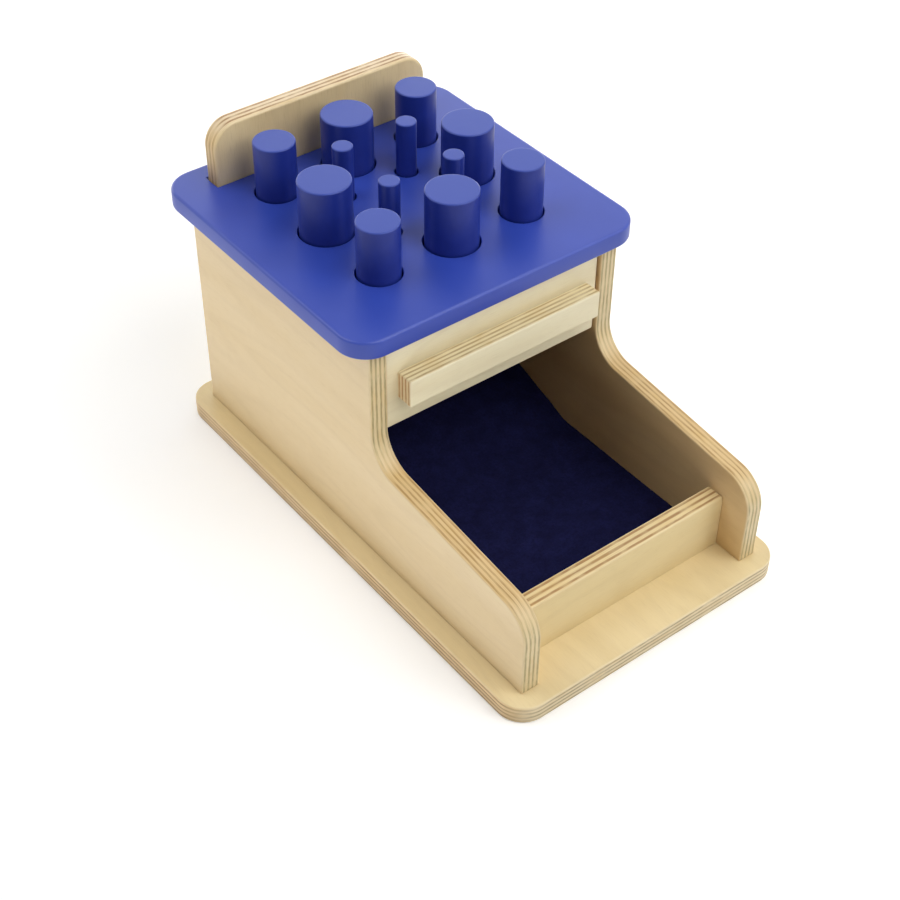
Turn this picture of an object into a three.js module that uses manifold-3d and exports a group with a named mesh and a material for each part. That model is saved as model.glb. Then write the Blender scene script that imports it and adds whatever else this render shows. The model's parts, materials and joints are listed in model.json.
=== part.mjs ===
// Wooden object permanence box: twelve pegs stand in the holes of a blue top, on a shelf that pulls out
// like a drawer. With the shelf out, the pegs drop on a felt-covered ramp and roll into the front tray.
// Millimetres, +Z up, +Y to the rear. The origin is the centre of the base plate's underside.

import * as THREE from 'three';
import { mergeVertices } from 'three/addons/utils/BufferGeometryUtils.js';
import Module from 'manifold-3d';

// Sheet stock
const BOARD_THICKNESS = 12;
const TOP_THICKNESS = 12;
const SHELF_THICKNESS = 9;
const RAMP_THICKNESS = 6;
const HANDLE_THICKNESS = 12;
const FELT_THICKNESS = 1;
const EDGE_EASE = 1;

// Fits
const GLUE_LINE = 0.1;
const SEAT_GAP = 0.3;
const RUNNING_GAP = 0.3;
const DRAWER_SIDE_GAP = 0.8;
const DRAWER_TOP_GAP = 0.9;
const SHELF_REAR_GAP = 0.5;
const HOLE_CLEARANCE = 0.9;
const SLOT_CLEARANCE = 0.8;
const FELT_EDGE_GAP = 0.3;

// Pegs and their grid: medium at the corners, large between them, small in the middle
const PEG_PITCH = 51.3;
const SMALL_PEG_OFFSET = 22.9;
const LARGE_PEG_DIAMETER = 31.8;
const MEDIUM_PEG_DIAMETER = 25.4;
const SMALL_PEG_DIAMETER = 12.6;
const PEG_STANDOUT = 34.6;
const PEG_EDGE_RADIUS = 1;

// Room round the grid of pegs inside the cabinet
const PEG_SIDE_ROOM = 4.8;
const PEG_REAR_ROOM = 9.3;
const PEG_FRONT_ROOM = 27.2;
const DROP_MARGIN = 0.3;

// Base plate and top board
const BASE_LENGTH = 346.4;
const BASE_SIDE_MARGIN = 12.4;
const BASE_FRONT_MARGIN = 12.1;
const BASE_REAR_MARGIN = 13.7;
const BASE_CORNER_RADIUS = 17.3;
const TOP_SIDE_OVERHANG = 12.4;
const TOP_FRONT_OVERHANG = 7.8;
const TOP_CORNER_RADIUS = 19;
const TOP_EDGE_RADIUS = 1.7;

// Side panels, back panel and front rail
const SIDE_HEIGHT = 150.8;
const TRAY_SIDE_HEIGHT = 56.6;
const TRAY_SIDE_SLOPE_DEG = 6.4;
const SIDE_PROFILE_RADIUS = 21.7;
const TAB_HEIGHT = 38.5;
const TAB_SHOULDER = 1.1;
const TAB_CORNER_RADIUS = 15.6;
const RAIL_HEIGHT = 38.5;
const RAIL_SETBACK = 19.6;

// Drawer, its runners and its stops
const DRAWER_RECESS = 2.2;
const DRAWER_FRONT_HEIGHT = 60.7;
const HANDLE_LENGTH = 138.6;
const HANDLE_HEIGHT = 18.2;
const HANDLE_DROP = 33;
const RUNNER_WIDTH = 9;
const RUNNER_HEIGHT = 10;
const STOP_PIN_DIAMETER = 5;
const STOP_PIN_INSET = 5.5;
const STOP_PIN_SEAT = 7;
const STOP_GROOVE_DEPTH = 4.5;

// Ramp
const RAMP_RUN = 149;
const RAMP_ANGLE_DEG = 20;
const CLEAT_DEPTH = 12;
const CLEAT_HEIGHT = 16;

// Fasteners
const BASE_SCREW = { head: 8, shank: 4, length: 35 };
const DRAWER_SCREW = { head: 7, shank: 3.5, length: 35 };
const SCREW_RECESS = 0.5;
const SCREW_TIP = 4;
const SIDE_SCREW_INSET = 30;
const CROSS_SCREW_SPACING = 86;
const DRAWER_SCREW_SPACING = 52;
const DOWEL_COVER = 4;
const DOWEL_EASE = 0.8;
const TOP_DOWEL = { diameter: 6, seat: 12, inset: 30 };
const HANDLE_DOWEL = { diameter: 8, inset: 13 };

// Facets
const CORNER_STEPS = 8;
const LARGE_SIDES = 32;
const SMALL_SIDES = 24;
const FASTENER_SIDES = 12;

// Places that follow from the sizes above
const radians = THREE.MathUtils.degToRad;
const mediumEdge = PEG_PITCH + MEDIUM_PEG_DIAMETER / 2;
const innerHalf = mediumEdge + PEG_SIDE_ROOM + RUNNER_WIDTH;
const outerHalf = innerHalf + BOARD_THICKNESS;
const innerWidth = 2 * innerHalf;
const sideMiddle = innerHalf + BOARD_THICKNESS / 2;
const gluedWidth = innerWidth - 2 * GLUE_LINE;

const baseFront = -BASE_LENGTH / 2;
const baseRear = BASE_LENGTH / 2;
const baseTop = BOARD_THICKNESS;
const sideFront = baseFront + BASE_FRONT_MARGIN;
const sideRear = baseRear - BASE_REAR_MARGIN;
const backFront = sideRear - BOARD_THICKNESS;
const boardFloor = baseTop + GLUE_LINE;
const topUnder = baseTop + SIDE_HEIGHT;
const topFace = topUnder + TOP_THICKNESS;

const gridReach = PEG_PITCH + LARGE_PEG_DIAMETER / 2;
const gridCentre = backFront - PEG_REAR_ROOM - gridReach;
const gridFront = gridCentre - gridReach;
const upperFront = gridFront - PEG_FRONT_ROOM;
const topFront = upperFront - TOP_FRONT_OVERHANG;

const railFront = sideFront + RAIL_SETBACK;
const railRear = railFront + BOARD_THICKNESS;

const drawerFront = upperFront + DRAWER_RECESS;
const drawerRear = drawerFront + BOARD_THICKNESS;
const drawerTop = topUnder - DRAWER_TOP_GAP;
const drawerBottom = drawerTop - DRAWER_FRONT_HEIGHT;
const handleMiddle = topUnder - HANDLE_DROP;
const shelfUnder = handleMiddle - SHELF_THICKNESS / 2;
const shelfTop = handleMiddle + SHELF_THICKNESS / 2;
const shelfFront = drawerRear + GLUE_LINE;
const shelfRear = backFront - SHELF_REAR_GAP;
const shelfHalf = innerHalf - DRAWER_SIDE_GAP;
const drawerTravel = shelfRear - gridFront + DROP_MARGIN;

const runnerFront = drawerRear + RUNNING_GAP;
const runnerRear = backFront - GLUE_LINE;
const runnerLength = runnerRear - runnerFront;
const runnerMiddle = (runnerFront + runnerRear) / 2;
const runnerAcross = innerHalf - GLUE_LINE - RUNNER_WIDTH / 2;
const runnerTop = shelfUnder - RUNNING_GAP;
const keeperUnder = shelfTop + RUNNING_GAP;
const stopPinAlong = runnerFront + STOP_PIN_INSET;
const stopReach = STOP_PIN_DIAMETER / 2 + RUNNING_GAP;

const rampAngle = radians(RAMP_ANGLE_DEG);
const rampFront = backFront - RAMP_RUN;
const rampRear = backFront - GLUE_LINE;

const pegFloor = shelfTop + RUNNING_GAP;
const pegLength = topFace + PEG_STANDOUT - pegFloor;

// Finishes
const finish = (color, roughness, metalness = 0) => new THREE.MeshStandardMaterial({
  color,
  roughness,
  metalness,
});
const birchPlywood = finish(0xdcc8a0, 0.5);
const blueLacquer = finish(0x3c4ba5, 0.35);
const navyFelt = finish(0x100e30, 0.95);
const beech = finish(0xc99a66, 0.55);
const zincSteel = finish(0xb5b8ba, 0.35, 1);

// Turns that stand a flat board up: one faces left and right, the other faces front and rear
const FLAT = [0, 0, 0];
const FACING_SIDE = [Math.PI / 2, Math.PI / 2, 0];
const FACING_FRONT = [Math.PI / 2, 0, 0];

const wasm = await Module();
wasm.setup();

// A closed three.js geometry as a solid that can be cut
function solidOf(geometry) {
  const bare = geometry.clone();
  bare.deleteAttribute('normal');
  bare.deleteAttribute('uv');
  const merged = mergeVertices(bare, 1e-4);
  const corners = merged.index.array;
  const triangles = [];
  for (let i = 0; i < corners.length; i += 3) {
    const [a, b, c] = corners.slice(i, i + 3);
    if (a !== b && b !== c && c !== a) triangles.push(a, b, c);
  }
  return new wasm.Manifold(new wasm.Mesh({
    numProp: 3,
    vertProperties: new Float32Array(merged.attributes.position.array),
    triVerts: new Uint32Array(triangles),
  }));
}

// A cut solid back as a three.js geometry
function geometryOf(solid) {
  const { vertProperties, triVerts } = solid.getMesh();
  const geometry = new THREE.BufferGeometry();
  geometry.setAttribute('position', new THREE.BufferAttribute(vertProperties, 3));
  geometry.setIndex(new THREE.BufferAttribute(triVerts, 1));
  geometry.computeVertexNormals();
  return geometry;
}

// A named piece at its place
function piece(name, geometry, material, position, rotation = FLAT) {
  const mesh = new THREE.Mesh(geometry, material);
  mesh.name = name;
  mesh.position.set(...position);
  mesh.rotation.set(...rotation);
  mesh.updateMatrix();
  return mesh;
}

// Cuts each tool, a geometry at a piece's place, out of a board
function cut(board, tools) {
  const toBoard = board.matrix.clone().invert();
  const left = tools.reduce((solid, { geometry, matrix }) => {
    const tool = geometry.clone().applyMatrix4(matrix).applyMatrix4(toBoard);
    return solid.subtract(solidOf(tool));
  }, solidOf(board.geometry));
  board.geometry = geometryOf(left);
  return board;
}

// Closed outline through corners [x, y, radius], each corner rounded by an arc that meets both its edges
function outline(corners) {
  const points = [];
  corners.forEach(([x, y, radius = 0], i) => {
    const corner = new THREE.Vector2(x, y);
    if (!radius) {
      points.push(corner);
      return;
    }
    const before = corners.at(i - 1);
    const after = corners[(i + 1) % corners.length];
    const toBefore = new THREE.Vector2(before[0], before[1]).sub(corner).normalize();
    const toAfter = new THREE.Vector2(after[0], after[1]).sub(corner).normalize();
    const half = Math.acos(toBefore.dot(toAfter)) / 2;
    const bisector = toBefore.clone().add(toAfter).normalize();
    const centre = corner.clone().addScaledVector(bisector, radius / Math.sin(half));
    const start = corner.clone().addScaledVector(toBefore, radius / Math.tan(half)).sub(centre);
    const turn = Math.sign(toBefore.cross(toAfter)) * (2 * half - Math.PI);
    for (let k = 0; k <= CORNER_STEPS; k++) {
      points.push(start.clone().rotateAround(new THREE.Vector2(), (turn * k) / CORNER_STEPS).add(centre));
    }
  });
  return new THREE.Shape(points);
}

const rectangle = (width, length, radius = 0) => outline([
  [-width / 2, -length / 2, radius],
  [width / 2, -length / 2, radius],
  [width / 2, length / 2, radius],
  [-width / 2, length / 2, radius],
]);

// A board lying flat on z = 0, with its face edges eased
function board(shape, thickness, ease = EDGE_EASE, easeSteps = 1) {
  return new THREE.ExtrudeGeometry(shape, {
    depth: thickness - 2 * ease,
    bevelThickness: ease,
    bevelSize: ease,
    bevelOffset: -ease,
    bevelSegments: easeSteps,
  }).translate(0, 0, ease);
}

// A prism of a plain outline, standing on z = 0
const prism = (shape, depth) => new THREE.ExtrudeGeometry(shape, { depth, bevelEnabled: false });

// A turned piece along +Z, from its profile of [radius, height] points
function turned(profile, sides) {
  const points = profile.map(([radius, height]) => new THREE.Vector2(radius, height));
  return new THREE.LatheGeometry(points, sides).rotateX(Math.PI / 2);
}

const rod = (diameter, length, sides) => turned(
  [[0, 0], [diameter / 2, 0], [diameter / 2, length], [0, length]],
  sides,
);

// A dowel with eased ends, from z = 0 up
function dowel(diameter, length) {
  const radius = diameter / 2;
  return turned([
    [0, 0],
    [radius - DOWEL_EASE, 0],
    [radius, DOWEL_EASE],
    [radius, length - DOWEL_EASE],
    [radius - DOWEL_EASE, length],
    [0, length],
  ], FASTENER_SIDES);
}

// The blind hole for a dowel, with room all round it
const dowelHole = (diameter, length) => rod(diameter + 2 * SEAT_GAP, length + 2 * SEAT_GAP, FASTENER_SIDES)
  .translate(0, 0, -SEAT_GAP);

// A countersunk wood screw, head at z = 0 and point up
function screw({ head, shank, length }) {
  const cone = (head - shank) / 2;
  return turned([
    [0, 0],
    [head / 2, 0],
    [shank / 2, cone],
    [shank / 2, length - SCREW_TIP],
    [0, length],
  ], FASTENER_SIDES);
}

// The countersunk hole for a screw, open at the head's end
function screwHole({ head, shank, length }) {
  const cone = (head - shank) / 2;
  const mouth = head / 2 + SEAT_GAP;
  const bore = shank / 2 + SEAT_GAP;
  return turned([
    [0, -2 * SCREW_RECESS],
    [mouth, -2 * SCREW_RECESS],
    [mouth, SEAT_GAP],
    [bore, cone + SEAT_GAP],
    [bore, length + SEAT_GAP],
    [0, length + SEAT_GAP],
  ], FASTENER_SIDES);
}

// The same place as a fastener's, for the hole that it sits in
const holeFor = (fastener, geometry) => ({ geometry, matrix: fastener.matrix });

// Screws up through the base plate
const sideScrewPlaces = [
  ['front', sideFront + SIDE_SCREW_INSET],
  ['middle', (sideFront + sideRear) / 2],
  ['rear', sideRear - SIDE_SCREW_INSET],
];
const baseScrew = (place, x, y) => piece(
  `base_screw_${place}`,
  screw(BASE_SCREW),
  zincSteel,
  [x, y, SCREW_RECESS],
);
const hands = [['left', -1], ['right', 1]];
const sideScrews = Object.fromEntries(hands.map(([hand, sign]) => [
  hand,
  sideScrewPlaces.map(([place, y]) => baseScrew(`${hand}_${place}`, sign * sideMiddle, y)),
]));
const crossScrews = (place, y) => hands.map(
  ([hand, sign]) => baseScrew(`${place}_${hand}`, (sign * CROSS_SCREW_SPACING) / 2, y),
);
const railScrews = crossScrews('rail', (railFront + railRear) / 2);
const backScrews = crossScrews('back', (backFront + sideRear) / 2);
const baseScrews = [...sideScrews.left, ...sideScrews.right, ...railScrews, ...backScrews];
const screwHoles = (screws, size) => screws.map((fastener) => holeFor(fastener, screwHole(size)));

// Dowels between the side panels and the top board
const topDowelLength = TOP_DOWEL.seat + TOP_THICKNESS - DOWEL_COVER;
const topDowels = Object.fromEntries(hands.map(([hand, sign]) => [
  hand,
  [['front', upperFront + TOP_DOWEL.inset], ['rear', sideRear - TOP_DOWEL.inset]].map(([place, y]) => piece(
    `top_dowel_${hand}_${place}`,
    dowel(TOP_DOWEL.diameter, topDowelLength),
    beech,
    [sign * sideMiddle, y, topUnder - TOP_DOWEL.seat],
  )),
]));
const topDowelHoles = (dowels) => dowels.map(
  (fastener) => holeFor(fastener, dowelHole(TOP_DOWEL.diameter, topDowelLength)),
);

// Base plate
const baseShape = rectangle(2 * (outerHalf + BASE_SIDE_MARGIN), BASE_LENGTH, BASE_CORNER_RADIUS);
const basePlate = cut(
  piece('base_plate', board(baseShape, BOARD_THICKNESS), birchPlywood, [0, 0, 0]),
  screwHoles(baseScrews, BASE_SCREW),
);

// Side panels: full height at the rear, then down a rounded step to the low sloping side of the tray
function sidePanel(hand, sign) {
  const length = sideRear - sideFront;
  const height = SIDE_HEIGHT - 2 * GLUE_LINE;
  const step = upperFront - sideFront;
  const stepHeight = TRAY_SIDE_HEIGHT + step * Math.tan(radians(TRAY_SIDE_SLOPE_DEG));
  const shape = outline([
    [0, 0],
    [length, 0],
    [length, height],
    [step, height],
    [step, stepHeight, SIDE_PROFILE_RADIUS],
    [0, TRAY_SIDE_HEIGHT, SIDE_PROFILE_RADIUS],
  ]);
  const innerOrOuter = sign < 0 ? -outerHalf : innerHalf;
  return cut(
    piece(
      `${hand}_side`,
      board(shape, BOARD_THICKNESS),
      birchPlywood,
      [innerOrOuter, sideFront, boardFloor],
      FACING_SIDE,
    ),
    [...screwHoles(sideScrews[hand], BASE_SCREW), ...topDowelHoles(topDowels[hand])],
  );
}
const sidePanels = hands.map(([hand, sign]) => sidePanel(hand, sign));

// Back panel: its shoulders carry the top board, and its tab comes up through the slot
const tabHalf = innerHalf - TAB_SHOULDER;
const shoulder = SIDE_HEIGHT - 2 * GLUE_LINE;
const tabTop = topFace + TAB_HEIGHT - boardFloor;
const backPanel = cut(
  piece(
    'back_panel',
    board(outline([
      [-gluedWidth / 2, 0],
      [gluedWidth / 2, 0],
      [gluedWidth / 2, shoulder],
      [tabHalf, shoulder],
      [tabHalf, tabTop, TAB_CORNER_RADIUS],
      [-tabHalf, tabTop, TAB_CORNER_RADIUS],
      [-tabHalf, shoulder],
      [-gluedWidth / 2, shoulder],
    ]), BOARD_THICKNESS),
    birchPlywood,
    [0, sideRear, boardFloor],
    FACING_FRONT,
  ),
  screwHoles(backScrews, BASE_SCREW),
);

// Front rail of the tray
const railHeight = RAIL_HEIGHT - GLUE_LINE;
const frontRail = cut(
  piece(
    'front_rail',
    board(rectangle(gluedWidth, railHeight), BOARD_THICKNESS),
    birchPlywood,
    [0, railRear, boardFloor + railHeight / 2],
    FACING_FRONT,
  ),
  screwHoles(railScrews, BASE_SCREW),
);

// Pegs: a turned cylinder with rounded ends, standing on z = 0
function peg(diameter, sides) {
  const radius = diameter / 2;
  const ease = PEG_EDGE_RADIUS;
  const mid = ease * (1 - Math.SQRT1_2);
  return turned([
    [0, 0],
    [radius - ease, 0],
    [radius, ease],
    [radius, pegLength - ease],
    [radius - mid, pegLength - mid],
    [radius - ease, pegLength],
    [0, pegLength],
  ], sides);
}

const pegPlaces = [
  ['large_front', 0, -PEG_PITCH],
  ['large_rear', 0, PEG_PITCH],
  ['large_left', -PEG_PITCH, 0],
  ['large_right', PEG_PITCH, 0],
];
for (const [depth, back] of [['front', -1], ['rear', 1]]) {
  for (const [hand, sign] of hands) {
    pegPlaces.push([`medium_${depth}_${hand}`, sign * PEG_PITCH, back * PEG_PITCH]);
    pegPlaces.push([`small_${depth}_${hand}`, sign * SMALL_PEG_OFFSET, back * SMALL_PEG_OFFSET]);
  }
}
const pegSizes = {
  large: { diameter: LARGE_PEG_DIAMETER, sides: LARGE_SIDES },
  medium: { diameter: MEDIUM_PEG_DIAMETER, sides: LARGE_SIDES },
  small: { diameter: SMALL_PEG_DIAMETER, sides: SMALL_SIDES },
};
const pegSize = (place) => pegSizes[place.split('_')[0]];
const pegs = pegPlaces.map(([place, x, y]) => {
  const { diameter, sides } = pegSize(place);
  return piece(`peg_${place}`, peg(diameter, sides), blueLacquer, [x, gridCentre + y, pegFloor]);
});

// Top board: rounded over, with a hole for each peg and the slot for the back panel's tab
const topLength = baseRear - topFront;
const topWidth = 2 * (outerHalf + TOP_SIDE_OVERHANG);
const slotShape = rectangle(2 * (tabHalf + SLOT_CLEARANCE), BOARD_THICKNESS + 2 * SLOT_CLEARANCE);
const throughDepth = TOP_THICKNESS + 2 * EDGE_EASE;
const throughFloor = topUnder - EDGE_EASE;
const slotTool = piece(
  'slot',
  prism(slotShape, throughDepth),
  blueLacquer,
  [0, (backFront + sideRear) / 2, throughFloor],
);
const pegHoles = pegPlaces.map(([place, x, y]) => {
  const { diameter, sides } = pegSize(place);
  const bore = rod(diameter + 2 * HOLE_CLEARANCE, throughDepth, sides);
  return piece(`hole_${place}`, bore, blueLacquer, [x, gridCentre + y, throughFloor]);
});
const topBoard = cut(
  piece(
    'top_board',
    board(rectangle(topWidth, topLength, TOP_CORNER_RADIUS), TOP_THICKNESS, TOP_EDGE_RADIUS, 2),
    blueLacquer,
    [0, (topFront + baseRear) / 2, topUnder],
  ),
  [slotTool, ...pegHoles, ...topDowelHoles([...topDowels.left, ...topDowels.right])],
);

// Ramp: a thin board from the tray floor up to a cleat on the back panel
const rampLine = (y, drop = 0) => boardFloor + (y - rampFront) * Math.tan(rampAngle) - drop;
const rampDrop = RAMP_THICKNESS / Math.cos(rampAngle);
const acrossInside = (name, corners, width, material) => piece(
  name,
  prism(outline(corners), width),
  material,
  [-width / 2, 0, 0],
  FACING_SIDE,
);
const rampBoard = acrossInside('ramp_board', [
  [rampFront, boardFloor],
  [rampFront + RAMP_THICKNESS / Math.sin(rampAngle), boardFloor],
  [rampRear, rampLine(rampRear, rampDrop)],
  [rampRear, rampLine(rampRear)],
], gluedWidth, birchPlywood);

const cleatFront = rampRear - CLEAT_DEPTH;
const cleatDrop = rampDrop + SEAT_GAP;
const cleatUnder = rampLine(cleatFront, cleatDrop) - CLEAT_HEIGHT;
const rampCleat = acrossInside('ramp_cleat', [
  [cleatFront, cleatUnder],
  [rampRear, cleatUnder],
  [rampRear, rampLine(rampRear, cleatDrop)],
  [cleatFront, rampLine(cleatFront, cleatDrop)],
], gluedWidth, beech);

// Felt: one sheet on the tray floor that turns up on to the ramp
const feltFront = railRear + FELT_EDGE_GAP;
const feltRear = backFront - FELT_EDGE_GAP;
const feltUnder = GLUE_LINE;
const feltOver = GLUE_LINE + FELT_THICKNESS;
const feltBend = (rise) => [rampFront - rise * Math.tan(rampAngle / 2), boardFloor + rise];
const feltEnd = (rise) => [feltRear, rampLine(feltRear) + rise / Math.cos(rampAngle)];
const feltLining = acrossInside('felt_lining', [
  [feltFront, boardFloor + feltUnder],
  feltBend(feltUnder),
  feltEnd(feltUnder),
  feltEnd(feltOver),
  feltBend(feltOver),
  [feltFront, boardFloor + feltOver],
], innerWidth - 2 * FELT_EDGE_GAP, navyFelt);

// Runners under the shelf, keepers over it and the pins that stop it
const stopPinLength = STOP_PIN_SEAT + RUNNING_GAP + STOP_GROOVE_DEPTH - SEAT_GAP;
const stopPins = hands.map(([hand, sign]) => piece(
  `${hand}_stop_pin`,
  dowel(STOP_PIN_DIAMETER, stopPinLength),
  beech,
  [sign * runnerAcross, stopPinAlong, runnerTop - STOP_PIN_SEAT],
));
const batten = () => new THREE.BoxGeometry(RUNNER_WIDTH, runnerLength, RUNNER_HEIGHT);
const runners = hands.map(([hand, sign], i) => cut(
  piece(
    `${hand}_runner`,
    batten(),
    beech,
    [sign * runnerAcross, runnerMiddle, runnerTop - RUNNER_HEIGHT / 2],
  ),
  [holeFor(stopPins[i], dowelHole(STOP_PIN_DIAMETER, stopPinLength))],
));
const keepers = hands.map(([hand, sign]) => piece(
  `${hand}_keeper`,
  batten(),
  beech,
  [sign * runnerAcross, runnerMiddle, keeperUnder + RUNNER_HEIGHT / 2],
));

// Drawer front, with the screws that hold the shelf and the dowels that hold the handle
const drawerScrews = hands.map(([hand, sign]) => piece(
  `drawer_screw_${hand}`,
  screw(DRAWER_SCREW),
  zincSteel,
  [(sign * DRAWER_SCREW_SPACING) / 2, drawerFront + SCREW_RECESS, handleMiddle],
  [-Math.PI / 2, 0, 0],
));
const handleDowelFloor = BOARD_THICKNESS - DOWEL_COVER;
const handleDowelLength = handleDowelFloor + GLUE_LINE + HANDLE_THICKNESS - DOWEL_COVER;
const handleDowels = hands.map(([hand, sign]) => piece(
  `handle_dowel_${hand}`,
  dowel(HANDLE_DOWEL.diameter, handleDowelLength),
  beech,
  [sign * (HANDLE_LENGTH / 2 - HANDLE_DOWEL.inset), drawerFront + handleDowelFloor, handleMiddle],
  FACING_FRONT,
));
const handleDowelHoles = handleDowels.map(
  (fastener) => holeFor(fastener, dowelHole(HANDLE_DOWEL.diameter, handleDowelLength)),
);
const drawerFrontBoard = cut(
  piece(
    'drawer_front',
    board(rectangle(innerWidth - 2 * DRAWER_SIDE_GAP, DRAWER_FRONT_HEIGHT), BOARD_THICKNESS),
    birchPlywood,
    [0, drawerRear, (drawerBottom + drawerTop) / 2],
    FACING_FRONT,
  ),
  [...screwHoles(drawerScrews, DRAWER_SCREW), ...handleDowelHoles],
);
const drawerHandle = cut(
  piece(
    'drawer_handle',
    board(rectangle(HANDLE_LENGTH, HANDLE_HEIGHT), HANDLE_THICKNESS),
    birchPlywood,
    [0, drawerFront - GLUE_LINE, handleMiddle],
    FACING_FRONT,
  ),
  handleDowelHoles,
);

// Drawer shelf, with a stopped groove along each side for its stop pin
const grooveFront = stopPinAlong - stopReach;
const grooveRear = stopPinAlong + drawerTravel + stopReach;
const grooveLength = grooveRear - grooveFront;
const grooveShape = rectangle(2 * stopReach, grooveLength);
const stopGrooves = hands.map(([hand, sign]) => piece(
  `${hand}_groove`,
  prism(grooveShape, STOP_GROOVE_DEPTH + EDGE_EASE),
  birchPlywood,
  [sign * runnerAcross, (grooveFront + grooveRear) / 2, shelfUnder - EDGE_EASE],
));
const shelfLength = shelfRear - shelfFront;
const drawerShelf = cut(
  piece(
    'drawer_shelf',
    board(rectangle(2 * shelfHalf, shelfLength), SHELF_THICKNESS),
    birchPlywood,
    [0, (shelfFront + shelfRear) / 2, shelfUnder],
  ),
  [...stopGrooves, ...screwHoles(drawerScrews, DRAWER_SCREW)],
);

// The assembly
const group = (...members) => new THREE.Group().add(...members);
const cabinet = group(
  basePlate,
  ...sidePanels,
  backPanel,
  frontRail,
  topBoard,
  ...runners,
  ...keepers,
  ...stopPins,
  ...baseScrews,
  ...topDowels.left,
  ...topDowels.right,
);
const chute = group(rampBoard, rampCleat, feltLining);
const drawer = group(drawerFrontBoard, drawerHandle, drawerShelf, ...drawerScrews, ...handleDowels);

export default group(cabinet, chute, drawer, group(...pegs));
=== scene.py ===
"""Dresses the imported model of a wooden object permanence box: plywood, blue lacquer, felt, light and camera.

Boards, battens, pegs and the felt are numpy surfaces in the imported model's own frame, in metres, with +Z up
and +Y to the rear. The ramp, its cleat and the fasteners stay as the CAD has them, and only get a finish.
A board is a closed outline that is carried through its thickness, with rounded corners and rounded edges.
"""

from __future__ import annotations

import json
import logging
import math
from dataclasses import dataclass, field
from enum import Enum
from typing import Any, ClassVar, Sequence

import bpy
import numpy as np
from bpy.types import Material, Mesh, Node, NodeSocket, NodeTree, Object
from mathutils import Matrix, Vector
from mathutils.geometry import delaunay_2d_cdt

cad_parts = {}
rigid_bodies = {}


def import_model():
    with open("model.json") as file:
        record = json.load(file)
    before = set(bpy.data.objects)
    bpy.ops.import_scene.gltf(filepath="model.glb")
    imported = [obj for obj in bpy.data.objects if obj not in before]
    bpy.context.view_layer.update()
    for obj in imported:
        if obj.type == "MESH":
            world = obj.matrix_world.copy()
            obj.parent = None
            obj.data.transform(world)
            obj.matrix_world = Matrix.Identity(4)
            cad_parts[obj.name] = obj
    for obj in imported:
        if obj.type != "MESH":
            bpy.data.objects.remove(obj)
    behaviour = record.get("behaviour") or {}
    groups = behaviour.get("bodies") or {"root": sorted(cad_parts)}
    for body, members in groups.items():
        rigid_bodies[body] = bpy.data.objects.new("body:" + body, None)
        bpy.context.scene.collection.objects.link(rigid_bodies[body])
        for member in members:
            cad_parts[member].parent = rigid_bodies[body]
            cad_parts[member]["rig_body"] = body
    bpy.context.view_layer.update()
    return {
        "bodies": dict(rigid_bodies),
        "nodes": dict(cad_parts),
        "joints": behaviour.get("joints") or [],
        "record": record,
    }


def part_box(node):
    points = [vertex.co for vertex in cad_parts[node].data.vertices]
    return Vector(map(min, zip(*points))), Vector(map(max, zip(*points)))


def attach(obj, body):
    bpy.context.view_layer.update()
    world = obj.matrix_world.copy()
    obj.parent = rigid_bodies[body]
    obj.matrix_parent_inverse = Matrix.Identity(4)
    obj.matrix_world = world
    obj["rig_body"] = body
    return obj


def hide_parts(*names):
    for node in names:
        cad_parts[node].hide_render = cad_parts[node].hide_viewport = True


LOG = logging.getLogger("permanence_box")

Triple = tuple[float, float, float]

MM = 0.001
GRAIN = "grain"
END_CUT = "end_cut"
WHITE = "#FFFFFF"

# Edges: a sanded round where a hand reaches, and a bare trace of one where two boards are glued
EDGE_ROUND = 1.1 * MM
JOINT_ROUND = 0.3 * MM
EDGE_CORNER = 1.5 * MM
JOINT_CORNER = 0.6 * MM
JOINT_REACH = 4 * MM
FACE_LAND = 0.15 * MM
CORNER_STEPS = 14
ROUND_STEPS = 6
TURNED_SIDES = 112

# Lengths in metres below which a vector counts as none, and two points count as one
NO_LENGTH = 1e-12
SAME_PLACE = 1e-7
SAME_VERTEX = 1e-9

# Inputs of a Mix node, which has more than one by each name
SHARE, NUMBER_A, NUMBER_B, COLOUR_A, COLOUR_B = 0, 2, 3, 6, 7

# Noise seldom leaves this stretch, so a pattern that is to reach both its ends is drawn from it
NOISE_SPAN = {"From Min": 0.3, "From Max": 0.7}


class Facing(Enum):
    """Which way a board faces: the world directions of its length, its width and its thickness."""

    UP = ((1, 0, 0), (0, 1, 0), (0, 0, 1))
    SIDE = ((0, 1, 0), (0, 0, 1), (1, 0, 0))
    FRONT = ((1, 0, 0), (0, 0, 1), (0, -1, 0))


class Grain(Enum):
    """Which way the face grain runs: the order in which length and width become along and across."""

    LENGTHWISE = (0, 1)
    CROSSWISE = (1, 0)


class Size(Enum):
    """The three sizes of peg, by the word in their names."""

    LARGE = "large"
    MEDIUM = "medium"
    SMALL = "small"


def linear(colour: str) -> tuple[float, float, float, float]:
    """Turns an sRGB hex colour such as "#3C4BA5" to linear red, green, blue and a full alpha.

    Args:
        colour: The hex colour, with its hash.

    Returns:
        The linear colour for a node's socket.
    """
    share = np.array([int(colour[i : i + 2], 16) for i in (1, 3, 5)]) / 255
    red, green, blue = np.where(share <= 0.04045, share / 12.92, ((share + 0.055) / 1.055) ** 2.4)
    return float(red), float(green), float(blue), 1.0


def connect(tree: NodeTree, node: Node, inputs: dict) -> None:
    """Fills a node's inputs.

    Args:
        tree: The node tree.
        node: The node.
        inputs: Each input's name or number, with what goes there: an output socket, a node whose first output
            in use is linked, a hex colour or a value.
    """
    for key, value in inputs.items():
        if isinstance(value, Node):
            value = next(output for output in value.outputs if output.enabled)
        if isinstance(value, NodeSocket):
            tree.links.new(value, node.inputs[key])
        else:
            node.inputs[key].default_value = linear(value) if isinstance(value, str) else value


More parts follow.
